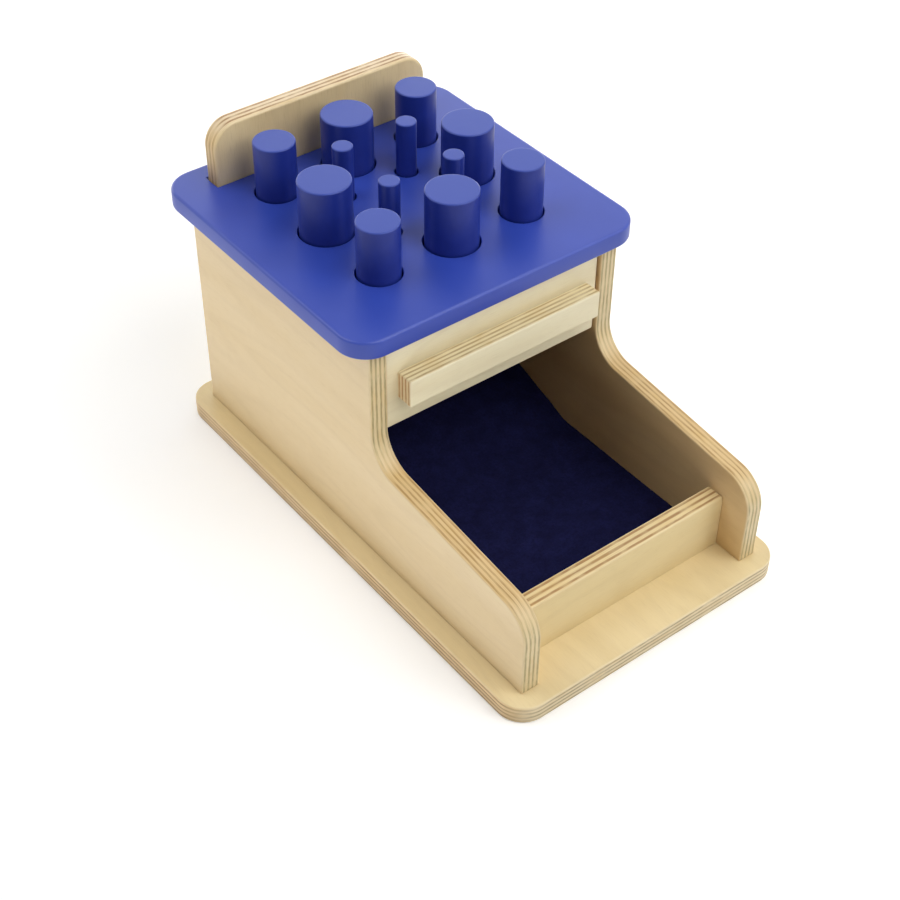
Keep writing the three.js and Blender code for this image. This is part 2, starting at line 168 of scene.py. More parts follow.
def add(tree: NodeTree, kind: str, inputs: dict | None = None, **settings: Any) -> Node:
    """Adds a node with its settings, and fills its inputs.

    Args:
        tree: The node tree that the node joins.
        kind: The node's type, without its ShaderNode prefix.
        inputs: What goes to each input, as connect takes it.
        **settings: The node's own properties.

    Returns:
        The new node.
    """
    made = tree.nodes.new("ShaderNode" + kind)
    for key, value in settings.items():
        setattr(made, key, value)
    connect(tree, made, inputs or {})
    return made


def streaks(tree: NodeTree, vector: NodeSocket, size: Sequence[float], detail: float) -> Node:
    """Draws cloudy noise whose clouds have a set size along each axis of a vector.

    Args:
        tree: The node tree.
        vector: The coordinates.
        size: The clouds' length along each coordinate, in that coordinate's own unit.
        detail: How many finer layers of noise lie over the first.

    Returns:
        The noise, from 0 to 1 with its middle at 0.5.
    """
    scaled = add(tree, "Mapping", {"Vector": vector, "Scale": [1 / s for s in size]})
    return add(tree, "TexNoise", {"Vector": scaled, "Scale": 1, "Detail": detail})


@dataclass(frozen=True)
class Finish:
    """A finish by name. Each kind of finish draws its own shader, and most carry a slot name."""

    name: str
    slot: ClassVar[str] = ""
    made: ClassVar[dict[str, Material]] = {}

    def material(self) -> Material:
        """Makes the finish's material the first time that a piece asks for it.

        Returns:
            The material, which all pieces of this finish share.
        """
        if self.name not in self.made:
            material = bpy.data.materials.new(f"{self.name}_finish")
            material.use_nodes = True
            tree = material.node_tree
            connect(tree, tree.nodes["Principled BSDF"], self.paint(tree))
            self.made[self.name] = material
        return self.made[self.name]

    def paint(self, tree: NodeTree) -> dict[str, Any]:
        """Draws the finish.

        Args:
            tree: The material's node tree.

        Returns:
            What goes to each input of the Principled shader, by its name.
        """
        raise NotImplementedError


@dataclass(frozen=True)
class BirchPlywood(Finish):
    """Birch plywood, rotary cut and clear lacquered to a satin.

    Its faces are pale and even with a faint figure along the grain. Its edges show the plies: light ones,
    and thinner brown ones between them, greyer where the edge is cut across the grain.
    Sizes of patterns are metres along the grain, metres across it and plies deep.
    """

    slot: ClassVar[str] = "birch_plywood"
    veneer: str
    veneer_shade: str
    figure: str = "#A07C4A"
    long_ply: str = "#DCBE88"
    long_line: str = "#B08A50"
    # Painted shade, in part: the end-cut colours are a little darker than the wood's own, for the end-cut
    # edges under the top board's overhang
    end_ply: str = "#E1CEA2"
    end_line: str = "#A7956A"
    stain: str = "#D3AE66"
    figure_share: float = 0.05
    pore_share: float = 0.09
    stain_share: float = 0.3
    slant_loss: float = 0.55
    face_ply: float = 0.6
    roughness: float = 0.42
    pore_roughness: float = 0.56
    edge_start: float = 0.03
    edge_full: float = 0.2
    tone_band: Triple = (260 * MM, 24 * MM, 3)
    ring_field: Triple = (240 * MM, 45 * MM, 9)
    ring_turns: float = 60.0
    pore: Triple = (9 * MM, 0.7 * MM, 0.5)
    ply_bend: Triple = (30 * MM, 30 * MM, 4)
    ply_wander: float = 0.14
    brown_core: float = 0.15
    brown_reach: float = 0.7
    ply_patch: Triple = (12 * MM, 12 * MM, 1.1)
    faintest: float = 0.35
    strongest: float = 1.45
    fibre: Triple = (45 * MM, 6 * MM, 0.22)
    fibre_share: float = 0.3
    blotch: Triple = (16 * MM, 16 * MM, 2.2)

    def paint(self, tree: NodeTree) -> dict[str, Any]:
        """Draws the plywood from the board's grain attribute: metres along, metres across and plies deep.

        Args:
            tree: The material's node tree.

        Returns:
            The shader's inputs: pores and fibres dent it, and pores are duller than the lacquer around them.
        """
        grain = add(tree, "Attribute", attribute_name=GRAIN).outputs["Vector"]
        end_cut = add(tree, "Attribute", attribute_name=END_CUT).outputs["Fac"]
        depth = add(tree, "SeparateXYZ", {0: grain}).outputs["Z"]
        face, pores = self._face(tree, grain)
        edge, fibres = self._edge(tree, grain, depth, end_cut)
        on_edge = add(tree, "MapRange", {
            "Value": depth, "From Min": self.edge_start, "From Max": self.edge_full,
        }, interpolation_type="SMOOTHSTEP")
        colour = add(tree, "Mix", {SHARE: on_edge, COLOUR_A: face, COLOUR_B: edge}, data_type="RGBA")
        relief = add(tree, "Mix", {SHARE: on_edge, NUMBER_A: pores, NUMBER_B: fibres})
        rough = add(tree, "MapRange", {
            "Value": pores, "To Min": self.roughness, "To Max": self.pore_roughness,
        })
        bump = add(tree, "Bump", {"Strength": 0.35, "Distance": 0.08 * MM, "Height": relief}, invert=True)
        return {"Base Color": colour, "Roughness": rough, "Normal": bump}

    def _face(self, tree: NodeTree, grain: NodeSocket) -> tuple[Node, Node]:
        """Draws the face veneer.

        The tone drifts in bands 24 mm wide. The figure is a few thin contour lines of a slow field, as where
        a rotary knife cuts growth rings. Pores are drawn 0.7 mm wide, because real ones wouldn't show.

        Args:
            tree: The material's node tree.
            grain: The board's grain coordinates.

        Returns:
            The colour, and the pores that roughen and dent it.
        """
        drift = add(tree, "MapRange", {"Value": streaks(tree, grain, self.tone_band, 3), **NOISE_SPAN})
        slow = streaks(tree, grain, self.ring_field, 1)
        wave = add(tree, "Math", {0: slow, 1: self.ring_turns}, operation="MULTIPLY")
        line = add(tree, "Math", {0: wave}, operation="SINE")
        rings = add(tree, "MapRange", {"Value": line, "From Min": 0.2, "To Max": self.figure_share})
        speck = streaks(tree, grain, self.pore, 2)
        pores = add(tree, "MapRange", {"Value": speck, "From Min": 0.52, "From Max": 0.75})
        veneer = add(tree, "Mix", {
            SHARE: drift, COLOUR_A: self.veneer, COLOUR_B: self.veneer_shade,
        }, data_type="RGBA")
        faint = add(tree, "Math", {0: pores, 1: self.pore_share, 2: rings}, operation="MULTIPLY_ADD")
        colour = add(tree, "Mix", {SHARE: faint, COLOUR_A: veneer, COLOUR_B: self.figure}, data_type="RGBA")
        return colour, pores

    def _edge(
        self, tree: NodeTree, grain: NodeSocket, depth: NodeSocket, end_cut: NodeSocket
    ) -> tuple[Node, Node]:
        """Draws the plies on an edge: every second one is browner, and they run into each other.

        The face plies are sanded thin. A ply grows stronger and fainter every 12 mm or so, it shows less
        where the edge is cut at a slant to the grain, and the lacquer leaves blotches of 16 mm.

        Args:
            tree: The material's node tree.
            grain: The board's grain coordinates.
            depth: How many plies below the nearer face.
            end_cut: 0 on an edge that runs with the grain, 1 on one cut across it.

        Returns:
            The colour, and the fibres that dent it.
        """
        sanded = 1 - self.face_ply
        drift = add(tree, "MapRange", {
            "Value": streaks(tree, grain, self.ply_bend, 2),
            "To Min": sanded - self.ply_wander,
            "To Max": sanded + self.ply_wander,
        })
        at = add(tree, "Math", {0: depth, 1: drift}, operation="ADD")

        # Brown plies: the distance to the middle of the second of each two, at one and a half plies
        away = at
        for operation, number in (("FLOORED_MODULO", 2.0), ("SUBTRACT", 1.5), ("ABSOLUTE", 0.0)):
            away = add(tree, "Math", {0: away, 1: number}, operation=operation)
        brown = add(tree, "MapRange", {
            "Value": away,
            "From Min": self.brown_core,
            "From Max": self.brown_reach,
            "To Min": 1,
            "To Max": 0,
        }, interpolation_type="SMOOTHSTEP")

        # Slant: the cut times what it leaves is at most a quarter, half way between along and across
        uncut = add(tree, "Math", {0: 1.0, 1: end_cut}, operation="SUBTRACT")
        slant = add(tree, "Math", {0: uncut, 1: end_cut}, operation="MULTIPLY")
        clear = add(tree, "Math", {0: slant, 1: -4 * self.slant_loss, 2: 1.0}, operation="MULTIPLY_ADD")
        strength = add(tree, "MapRange", {
            "Value": streaks(tree, grain, self.ply_patch, 3),
            **NOISE_SPAN,
            "To Min": self.faintest,
            "To Max": self.strongest,
        })
        shown = add(tree, "Math", {0: clear, 1: strength}, operation="MULTIPLY")
        streak = add(tree, "MapRange", {
            "Value": streaks(tree, grain, self.fibre, 3),
            **NOISE_SPAN,
            "To Min": -self.fibre_share,
            "To Max": self.fibre_share,
        })
        share = add(tree, "Math", {
            0: brown, 1: shown, 2: streak,
        }, operation="MULTIPLY_ADD", use_clamp=True)

        # Colours: the face ply keeps half its veneer, and the plies under it turn with the cut
        inner = add(tree, "Mix", {
            SHARE: end_cut, COLOUR_A: self.long_ply, COLOUR_B: self.end_ply,
        }, data_type="RGBA")
        below = add(tree, "MapRange", {"Value": at, "From Min": 0.65, "To Min": 0.5})
        light = add(tree, "Mix", {SHARE: below, COLOUR_A: self.veneer, COLOUR_B: inner}, data_type="RGBA")
        dark = add(tree, "Mix", {
            SHARE: end_cut, COLOUR_A: self.long_line, COLOUR_B: self.end_line,
        }, data_type="RGBA")
        plies = add(tree, "Mix", {SHARE: share, COLOUR_A: light, COLOUR_B: dark}, data_type="RGBA")
        stained = add(tree, "MapRange", {
            "Value": streaks(tree, grain, self.blotch, 2),
            "From Min": 0.5,
            "From Max": 0.72,
            "To Max": self.stain_share,
        })
        colour = add(tree, "Mix", {SHARE: stained, COLOUR_A: plies, COLOUR_B: self.stain}, data_type="RGBA")
        return colour, share


@dataclass(frozen=True)
class BlueLacquer(Finish):
    """Sprayed blue lacquer on wood, rubbed to a satin: even, with a trace of orange peel.

    On a peg's ends the colour is paler: painted light on the peg tops, which face the lamps.
    """

    slot: ClassVar[str] = "blue_lacquer"
    colour: str = "#2F47AB"
    colour_shade: str = "#2C43A4"
    # Painted highlight: the paler colour that a peg's ends fade to, for the light on its top
    end_highlight_colour: str = "#384DA5"
    end_highlight_share: float = 0.0
    end_depth: float = 0.012
    cloud: float = 40 * MM
    peel: float = 1.6 * MM
    roughness: float = 0.36
    roughness_drift: float = 0.03
    specular: float = 0.5

    def paint(self, tree: NodeTree) -> dict[str, Any]:
        """Draws the lacquer: its tone drifts in clouds, and the orange peel is 1.6 mm wide.

        Args:
            tree: The material's node tree.

        Returns:
            The shader's inputs.
        """
        place = add(tree, "TexCoord").outputs["Object"]
        grain = add(tree, "Attribute", attribute_name=GRAIN).outputs["Vector"]
        depth = add(tree, "SeparateXYZ", {0: grain}).outputs["Z"]
        tone = streaks(tree, place, [self.cloud] * 3, 2)
        peel = streaks(tree, place, [self.peel] * 3, 1)
        drift = add(tree, "MapRange", {"Value": tone, **NOISE_SPAN})
        coat = add(tree, "Mix", {
            SHARE: drift, COLOUR_A: self.colour, COLOUR_B: self.colour_shade,
        }, data_type="RGBA")
        # Painted highlight: a peg's ends, its top among them, turn to the paler end colour
        end = add(tree, "MapRange", {
            "Value": depth, "From Max": self.end_depth, "To Min": self.end_highlight_share, "To Max": 0,
        })
        satin = add(tree, "MapRange", {
            "Value": tone,
            **NOISE_SPAN,
            "To Min": self.roughness - self.roughness_drift,
            "To Max": self.roughness + self.roughness_drift,
        })
        return {
            "Base Color": add(tree, "Mix", {
                SHARE: end, COLOUR_A: coat, COLOUR_B: self.end_highlight_colour,
            }, data_type="RGBA"),
            "Roughness": satin,
            "Specular IOR Level": self.specular,
            "Normal": add(tree, "Bump", {"Strength": 0.12, "Distance": 0.05 * MM, "Height": peel}),
        }


@dataclass(frozen=True)
class NavyFelt(Finish):
    """Pressed wool felt, dyed navy: no thread or weave, only matted fibres that catch a little light."""

    slot: ClassVar[str] = "navy_felt"
    deep: str = "#121334"
    fibre: str = "#1B1D47"
    sheen: str = "#4A4C9A"
    mat: float = 9 * MM
    tuft: float = 1.4 * MM
    fuzz: float = 0.5 * MM
    nap: float = 0.4 * MM

    def paint(self, tree: NodeTree) -> dict[str, Any]:
        """Draws the felt: mats of 9 mm, tufts of 1.4 mm and fibres of 0.5 mm, coarser than real fibres.

        Args:
            tree: The material's node tree.

        Returns:
            The shader's inputs.
        """
        place = add(tree, "TexCoord").outputs["Object"]
        mats = streaks(tree, place, [self.mat] * 3, 3)
        tufts = streaks(tree, place, [self.tuft] * 3, 4)
        fuzz = streaks(tree, place, [self.fuzz] * 3, 2)
        both = add(tree, "Math", {0: mats, 1: tufts}, operation="MULTIPLY")
        share = add(tree, "MapRange", {"Value": both, "From Min": 0.12, "From Max": 0.42})
        nap = add(tree, "Math", {0: tufts, 1: fuzz}, operation="ADD")
        return {
            "Base Color": add(tree, "Mix", {
                SHARE: share, COLOUR_A: self.deep, COLOUR_B: self.fibre,
            }, data_type="RGBA"),
            "Normal": add(tree, "Bump", {"Strength": 0.8, "Distance": self.nap, "Height": nap}),
            "Roughness": 0.95,
            "Specular IOR Level": 0.08,
            "Sheen Weight": 0.01,
            "Sheen Roughness": 0.5,
            "Sheen Tint": self.sheen,
        }


@dataclass(frozen=True)
class PlanedBeech(Finish):
    """Steamed beech, planed and left bare: pinkish brown, with short dark flecks along the grain."""

    slot: ClassVar[str] = "beech"
    along: Triple
    wood: str = "#C99C6B"
    wood_shade: str = "#B98653"
    fleck: str = "#8A5A34"
    band_width: float = 6 * MM
    band_stretch: float = 90 * MM
    fleck_width: float = 0.6 * MM
    fleck_stretch: float = 3.4 * MM

    def paint(self, tree: NodeTree) -> dict[str, Any]:
        """Draws the beech: bands 6 mm wide and flecks 0.6 by 4 mm along one of the object's axes.

        Args:
            tree: The material's node tree.

        Returns:
            The shader's inputs.
        """
        place = add(tree, "TexCoord").outputs["Object"]
        along = np.array(self.along)
        bands = streaks(tree, place, self.band_width + along * self.band_stretch, 3)
        specks = streaks(tree, place, self.fleck_width + along * self.fleck_stretch, 1)
        drift = add(tree, "MapRange", {"Value": bands, **NOISE_SPAN})
        wood = add(tree, "Mix", {
            SHARE: drift, COLOUR_A: self.wood, COLOUR_B: self.wood_shade,
        }, data_type="RGBA")
        flecks = add(tree, "MapRange", {"Value": specks, "From Min": 0.62, "From Max": 0.72, "To Max": 0.5})
        return {
            "Base Color": add(tree, "Mix", {
                SHARE: flecks, COLOUR_A: wood, COLOUR_B: self.fleck,
            }, data_type="RGBA"),
            "Normal": add(tree, "Bump", {"Strength": 0.3, "Distance": 0.05 * MM, "Height": bands}),
            "Roughness": 0.55,
        }


@dataclass(frozen=True)
class ZincSteel(Finish):
    """Zinc plated steel screws: pale, slightly clouded metal."""

    colour: str = "#C6C8CA"
    cloud_colour: str = "#A9ADB2"
    cloud: float = 2 * MM

    def paint(self, tree: NodeTree) -> dict[str, Any]:
        """Draws the plating, clouded over 2 mm.

        Args:
            tree: The material's node tree.

        Returns:
            The shader's inputs.
        """
        place = add(tree, "TexCoord").outputs["Object"]
        clouds = streaks(tree, place, [self.cloud] * 3, 3)
        return {
            "Base Color": add(tree, "Mix", {
                SHARE: clouds, COLOUR_A: self.colour, COLOUR_B: self.cloud_colour,
            }, data_type="RGBA"),
            "Roughness": add(tree, "MapRange", {"Value": clouds, "To Min": 0.25, "To Max": 0.45}),
            "Metallic": 1.0,
        }


# Each board has its own copy of the birch. The copies differ partly as real veneers do, and partly as painted
# light and shade for the light that each board gets: the base and the rail are made paler, and the left side
# darker
LEFT_BIRCH = BirchPlywood("birch_plywood_left", "#E4CDA3", "#DEC597")
# Painted bounce light: the right side is warmer than the left, for the light that its inner face gets off the
# wood around it
RIGHT_BIRCH_PAINTED_BOUNCE = BirchPlywood("birch_plywood_right", "#E2C596", "#DABA89")
BASE_BIRCH = BirchPlywood(
    "birch_plywood_base",
    "#ECD8AA",
    "#E5CF9C",
    long_ply="#F0D2A0",
    long_line="#AD8858",
    end_ply="#EBD9B2",
    end_line="#AE9A72",
)
RAIL_BIRCH = BirchPlywood("birch_plywood_rail", "#EAD7A8", "#E5D09D", long_ply="#E8D29E", long_line="#A87F4E")
# Painted light: the back panel's veneer is paler than the sides', so that its face stays bright in the pegs'
# shade
BACK_BIRCH_PAINTED_LIGHT = BirchPlywood(
    "birch_plywood_back",
    "#F0D9A6",
    "#E6CB94",
    end_ply="#E8D3AE",
    end_line="#A2794C",
    pore_share=0.14,
    face_ply=1.0,
)
# The drawer's veneer is the palest: partly its own paler veneer, partly painted light on its front faces
DRAWER_BIRCH_PALE_AND_PAINTED_LIGHT = BirchPlywood(
    "birch_plywood_drawer",
    "#F2E9C9",
    "#EDE0BB",
    long_ply="#F6E7BC",
    long_line="#C6AD7C",
    end_ply="#E6D3AB",
    end_line="#B5824F",
)
TOP_LACQUER = BlueLacquer("blue_lacquer_top")
# Painted shade: the pegs' blue is a darker copy of the top board's, for the shade on their sides
PEG_LACQUER_PAINTED_SHADE = BlueLacquer(
    "blue_lacquer_pegs",
    "#22338B",
    "#203084",
    end_highlight_share=1.0,
    cloud=9 * MM,
    specular=0.35,
)
FELT = NavyFelt("navy_felt")
BEECH_LENGTHWISE = PlanedBeech("beech_lengthwise", (0, 1, 0))
BEECH_ACROSS = PlanedBeech("beech_across", (1, 0, 0))
BEECH_UPRIGHT = PlanedBeech("beech_upright", (0, 0, 1))
STEEL = ZincSteel("zinc_steel")


def unit(vectors: np.ndarray) -> np.ndarray:
    """Scales each vector to length 1, and leaves a vector of no length at zero."""
    length = np.linalg.norm(vectors, axis=-1, keepdims=True)
    return vectors / np.maximum(length, NO_LENGTH)


@dataclass(frozen=True)
class Loop:
    """A closed outline in a board's plane, and the radius that the board's edge has at each of its points.

    The wood lies to the left of the way round: an outside runs anticlockwise, and a hole clockwise.
    """

    points: np.ndarray
    ease: np.ndarray

    @classmethod
    def of_corners(cls, corners: Sequence[Sequence[float]]) -> Loop:
        """Rounds each corner of an outline by an arc that meets both its edges.

        An arc's centre lies on its corner's bisector, at the radius over the sine of half the corner's angle.
        The arc starts at the foot of the centre on the edge before, and turns as far as the outline does.

        Args:
            corners: For each corner its length and width coordinate, its radius and its edge's radius.

        Returns:
            The outline. A corner without a radius stays one point, which a straight edge may hold too.
        """
        table = np.array(corners, float)
        corner, radius, ease = table[:, :2], table[:, 2], table[:, 3]
        before = unit(np.roll(corner, 1, axis=0) - corner)
        after = unit(np.roll(corner, -1, axis=0) - corner)
        half = np.arccos(np.clip((before * after).sum(axis=1), -1, 1)) / 2
        centre = corner + unit(before + after) * (radius / np.sin(half))[:, None]
        start = corner + before * (radius / np.tan(half))[:, None] - centre
        side = np.sign(before[:, 0] * after[:, 1] - before[:, 1] * after[:, 0])
        turn = np.linspace(0, 1, CORNER_STEPS + 1) * (side * (2 * half - math.pi))[:, None]
        cos, sin = np.cos(turn), np.sin(turn)
        x, y = start[:, :1], start[:, 1:]
        arcs = np.stack([x * cos - y * sin, x * sin + y * cos], axis=-1) + centre[:, None]
        points = arcs.reshape(-1, 2)
        apart = np.linalg.norm(points - np.roll(points, 1, axis=0), axis=1) > SAME_PLACE
        return cls(points[apart], np.repeat(ease, CORNER_STEPS + 1)[apart])

    @classmethod
    def rectangle(cls, low: Sequence[float], high: Sequence[float], radius: float, ease: float) -> Loop:
        """Gives the outline of a rectangle, with all four corners rounded alike.

        Args:
            low: The corner with its lowest length and width coordinates.
            high: The corner with its highest ones.
            radius: The corners' radius.
            ease: The edge's radius.

        Returns:
            The outline.
        """
        (left, bottom), (right, top) = low, high
        places = [(left, bottom), (right, bottom), (right, top), (left, top)]
        return cls.of_corners([(*place, radius, ease) for place in places])

    @classmethod
    def circle(cls, centre: Sequence[float], radius: float, ease: float) -> Loop:
        """Gives a circle's outline: the centre plus the radius times cosine and sine of the angle.

        Args:
            centre: Its length and width coordinate.
            radius: Its radius.
            ease: The edge's radius.

        Returns:
            The outline.
        """
        angle = np.linspace(0, 2 * math.pi, TURNED_SIDES, endpoint=False)
        points = np.array(centre) + radius * np.stack([np.cos(angle), np.sin(angle)], axis=1)
        return cls(points, np.full(TURNED_SIDES, ease))

    def reversed(self) -> Loop:
        """Gives the same outline the other way round, which makes an outside a hole."""
        return Loop(self.points[::-1], self.ease[::-1])

    def inward(self) -> np.ndarray:
        """Works out the way into the wood: the sum of both edges' normals over 1 plus their product.

        Returns:
            At each point, the step that moves both its edges in by 1.
        """
        along = unit(np.roll(self.points, -1, axis=0) - self.points)
        normal = np.stack([-along[:, 1], along[:, 0]], axis=1)
        before = np.roll(normal, 1, axis=0)
        return (before + normal) / (1 + (before * normal).sum(axis=1, keepdims=True))

    def walls(self, thickness: float, lower_limit: float) -> np.ndarray:
        """Carries the outline through a thickness, with both its edges rounded.

        At an angle t of the quarter round, a ring lies in from the outline by ease times (1 - sin t), and off
        the face by ease times (1 - cos t). A flat ring just inside each round keeps the face's shading flat.

        Args:
            thickness: The board's thickness.
            lower_limit: The largest radius that the lower face's edge may have.

        Returns:
            Rings by points by length, width and height, from the lower face to the upper one.
        """
        turn = np.linspace(0, math.pi / 2, ROUND_STEPS + 1)
        back = turn[::-1]
        inset = np.concatenate([[1], 1 - np.sin(turn), [0], 1 - np.sin(back), [1]])
        rise = np.concatenate([[0], 1 - np.cos(turn), [0], np.cos(back) - 1, [0]])
        level = np.concatenate([np.zeros(len(turn) + 1), [0.5], np.ones(len(turn) + 1)])
        land = np.zeros(len(level))
        land[[0, -1]] = FACE_LAND
        limit = np.where(level == 0, lower_limit, np.inf)
        ease = np.minimum(self.ease, limit[:, None])
        reach = inset[:, None] * ease + land[:, None]
        plan = self.points + reach[..., None] * self.inward()
        height = level[:, None] * thickness + rise[:, None] * ease
        return np.concatenate([plan, height[..., None]], axis=-1)

    def pit(self, steps: Sequence[Sequence[float]]) -> np.ndarray:
        """Carries a hole's outline up from the lower face to a blind end.

        Args:
            steps: For each ring, how far it draws in from the outline, and its height.

        Returns:
            Rings by points by length, width and height.
        """
        drawn, height = np.array(steps, float).T
        plan = self.points - drawn[:, None, None] * self.inward()
        level = np.broadcast_to(height[:, None, None], (*plan.shape[:2], 1))
        return np.concatenate([plan, level], axis=-1)


def glued(along: float, across: float) -> tuple[float, float, float, float]:
    """Gives Loop.of_corners a corner at a glued joint, which is sharper than a sanded one."""
    return along, across, JOINT_CORNER, JOINT_ROUND


def fill(loops: Sequence[np.ndarray]) -> np.ndarray:
    """Fills the region between closed loops with triangles.

    They are the Delaunay triangles whose centre lies inside an odd number of the loops: a ray from it along
    +X then crosses an odd number of edges.

    Args:
        loops: The points of each loop.

    Returns:
        Three point numbers for each triangle, anticlockwise, counted through all the loops.
    """
    points = np.concatenate(loops)
    starts = np.cumsum([0] + [len(loop) for loop in loops[:-1]])
    edges = np.concatenate([
        start + np.stack([np.arange(len(loop)), np.roll(np.arange(len(loop)), -1)], axis=1)
        for start, loop in zip(starts, loops)
    ])
    corners = np.array(delaunay_2d_cdt(points.tolist(), edges.tolist(), [], 0, SAME_VERTEX)[2])
    x, y = points[corners].mean(axis=1).T[..., None]
    (x0, y0), (x1, y1) = points[edges[:, 0]].T, points[edges[:, 1]].T
    spans = (y0 > y) != (y1 > y)
    rise = np.where(y1 == y0, 1, y1 - y0)
    crossings = spans & (x < x0 + (x1 - x0) * (y - y0) / rise)
    return corners[crossings.sum(axis=1) % 2 == 1]


def quads(numbers: np.ndarray) -> np.ndarray:
    """Joins rings of point numbers, closed on themselves, to quads that face away from the wood."""
    ahead = np.roll(numbers, -1, axis=1)
    return np.stack([numbers[:-1], ahead[:-1], ahead[1:], numbers[1:]], axis=-1).reshape(-1, 4)


@dataclass
class Board:
    """A flat or turned piece of wood: an outline through a thickness, with its holes and its blind pits.

    Attributes:
        node: The CAD node that it stands for, whose box gives its thickness and its place along it.
        outline: The outside.
        facing: Which way it faces.
        holes: Outlines that go right through, clockwise.
        pits: Rings of blind holes in the lower face.
        plies: How many inner plies thick it is, with its thin face plies counted as parts of one.
        grain: Which way its face grain runs.
        figure: How far along and across the log its veneer comes from, so that no two boards look alike.
        lower_limit: The largest radius of its lower face's edge, which is sharper where that face is glued.
    """

    node: str
    outline: Loop
    facing: Facing
    holes: Sequence[Loop] = ()
    pits: Sequence[np.ndarray] = ()
    plies: float = 8.2
    grain: Grain = Grain.LENGTHWISE
    figure: tuple[float, float] = (0.0, 0.0)
    lower_limit: float = math.inf

    def mesh(self) -> Mesh:
        """Builds the closed mesh, with its grain coordinates and how far each edge is cut across the grain.

        A point's depth is its distance from the nearer face, in plies. An edge's cut is the square of its
        normal's share along the grain.

        Returns:
            The mesh, in the world frame.
        """
        low, high = np.array(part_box(self.node), float)
        axes = np.array(self.facing.value, float)
        thickness = abs((high - low) @ axes[2])
        place = np.where(axes[2] < 0, high, low) * abs(axes[2])

        loops = [self.outline, *self.holes]
        walls = [loop.walls(thickness, self.lower_limit) for loop in loops]
        grids = [*walls, *self.pits]
        counts = [grid.shape[0] * grid.shape[1] for grid in grids]
        starts = np.cumsum([0] + counts[:-1])
        numbers = [s + np.arange(n).reshape(g.shape[:2]) for s, n, g in zip(starts, counts, grids)]
        upper = np.concatenate([n[-1] for n in numbers[: len(walls)]])
        lower = np.concatenate([n[0] for n in numbers])
        faces = np.concatenate([quads(n) for n in numbers]).tolist()
        faces += upper[fill([wall[-1, :, :2] for wall in walls])].tolist()
        faces += lower[fill([grid[0, :, :2] for grid in grids])][:, ::-1].tolist()
        faces += [n[-1].tolist() for n in numbers[len(walls) :]]

        local = np.concatenate([grid.reshape(-1, 3) for grid in grids])
        along, across = self.grain.value
        grain = np.column_stack([
            local[:, along] + self.figure[0],
            local[:, across] + self.figure[1],
            np.minimum(local[:, 2], thickness - local[:, 2]) / thickness * self.plies,
        ])
        cuts = [unit(loop.inward())[:, along] ** 2 for loop in loops]
        on_walls = [np.broadcast_to(cut, wall.shape[:2]).ravel() for cut, wall in zip(cuts, walls)]
        end_cut = np.concatenate(on_walls + [np.zeros(n) for n in counts[len(walls) :]])

        mesh = bpy.data.meshes.new(self.node)
        mesh.from_pydata((local @ axes + place).tolist(), [], faces)
        mesh.shade_smooth()
        mesh.attributes.new(GRAIN, "FLOAT_VECTOR", "POINT").data.foreach_set("vector", grain.ravel())
        mesh.attributes.new(END_CUT, "FLOAT", "POINT").data.foreach_set("value", end_cut)
        return mesh


@dataclass
class SubAssembly:
    """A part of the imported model, and the way that finished pieces take the place of its nodes."""

    packed: dict

    def finish_piece(self, node: str, mesh: Mesh, finish: Finish) -> Object:
        """Puts a finished piece in a node's place, on that node's body.

        Args:
            node: The CAD node.
            mesh: The piece's mesh, in the world frame.
            finish: Its finish.

        Returns:
            The piece.
        """
        piece = bpy.data.objects.new(f"{node}_finished", mesh)
        bpy.context.scene.collection.objects.link(piece)
        mesh.materials.append(finish.material())
        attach(piece, self.packed["nodes"][node]["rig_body"])
        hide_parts(node)
        LOG.info("%s: %d faces, %s", piece.name, len(mesh.polygons), mesh.materials[0].name)
        return piece

    def finish_board(self, board: Board, finish: Finish) -> None:
        """Puts a finished board in its node's place."""
        self.finish_piece(board.node, board.mesh(), finish)

    def dress_node(self, node: str, finish: Finish) -> None:
        """Gives a CAD node that stays in view its finish.

        Args:
            node: The CAD node.
            finish: Its finish.
        """
        for slot in self.packed["nodes"][node].material_slots:
            slot.material = finish.material()
        LOG.info("%s: kept, %s", node, finish.material().name)

    def names(self, start: str) -> list[str]:
        """Gives the names of the CAD nodes that start with a word."""
        return sorted(name for name in self.packed["nodes"] if name.startswith(start))


